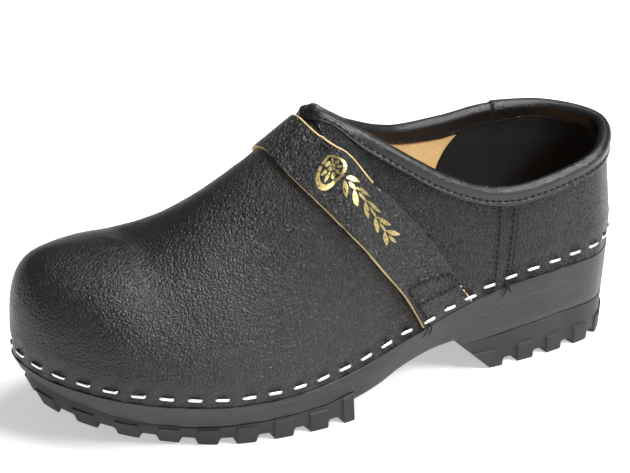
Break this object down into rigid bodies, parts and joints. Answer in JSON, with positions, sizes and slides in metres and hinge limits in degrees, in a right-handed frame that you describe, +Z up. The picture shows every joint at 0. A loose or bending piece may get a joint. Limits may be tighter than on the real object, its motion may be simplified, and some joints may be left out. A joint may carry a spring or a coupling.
{
  "type": "wooden clog",
  "caption": "Closed-back wooden clog for the left foot: leather upper stapled to a carved wooden sole with rubber treads and an instep strap.",
  "frame": {"origin": "on the ground under the middle of the clog's box", "axes": "+X to the toe, +Y to the outer side of the left foot, +Z up"},
  "size_m": [0.2848, 0.1044, 0.1234],
  "materials": {
    "lacquered_wood": "black lacquer over carved wood",
    "tread_rubber": "matte black moulded rubber",
    "upper_leather": "black grained leather, half gloss",
    "binding_leather": "smooth black leather, half gloss",
    "lining_leather": "natural tan lining leather",
    "heel_suede": "black suede",
    "fibreboard": "stiffened fibre",
    "cotton_cord": "twisted cotton",
    "staple_steel": "bright steel wire"
  },
  "bodies": {
    "root": {"wooden_sole": "lacquered_wood", "forefoot_tread": "tread_rubber", "heel_tread": "tread_rubber", "vamp": "upper_leather", "quarter": "upper_leather", "instep_strap": "upper_leather", "vamp_lining": "lining_leather", "quarter_lining": "lining_leather", "heel_grip": "heel_suede", "toe_puff": "fibreboard", "heel_stiffener": "fibreboard", "collar_binding": "binding_leather", "collar_cord": "cotton_cord", "staple_01": "staple_steel", "staple_02": "staple_steel", "staple_03": "staple_steel", "staple_04": "staple_steel", "staple_05": "staple_steel", "staple_06": "staple_steel", "staple_07": "staple_steel", "staple_08": "staple_steel", "staple_09": "staple_steel", "staple_10": "staple_steel", "staple_11": "staple_steel", "staple_12": "staple_steel", "staple_13": "staple_steel", "staple_14": "staple_steel", "staple_15": "staple_steel", "staple_16": "staple_steel", "staple_17": "staple_steel", "staple_18": "staple_steel", "staple_19": "staple_steel", "staple_20": "staple_steel", "staple_21": "staple_steel", "staple_22": "staple_steel", "staple_23": "staple_steel", "staple_24": "staple_steel", "staple_25": "staple_steel", "staple_26": "staple_steel", "staple_27": "staple_steel", "staple_28": "staple_steel", "staple_29": "staple_steel", "staple_30": "staple_steel", "staple_31": "staple_steel", "staple_32": "staple_steel", "staple_33": "staple_steel", "staple_34": "staple_steel", "staple_35": "staple_steel", "staple_36": "staple_steel", "staple_37": "staple_steel", "staple_38": "staple_steel", "staple_39": "staple_steel", "staple_40": "staple_steel", "staple_41": "staple_steel", "staple_42": "staple_steel", "staple_43": "staple_steel", "staple_44": "staple_steel", "staple_45": "staple_steel", "staple_46": "staple_steel", "staple_47": "staple_steel"}
  },
  "joints": []
}
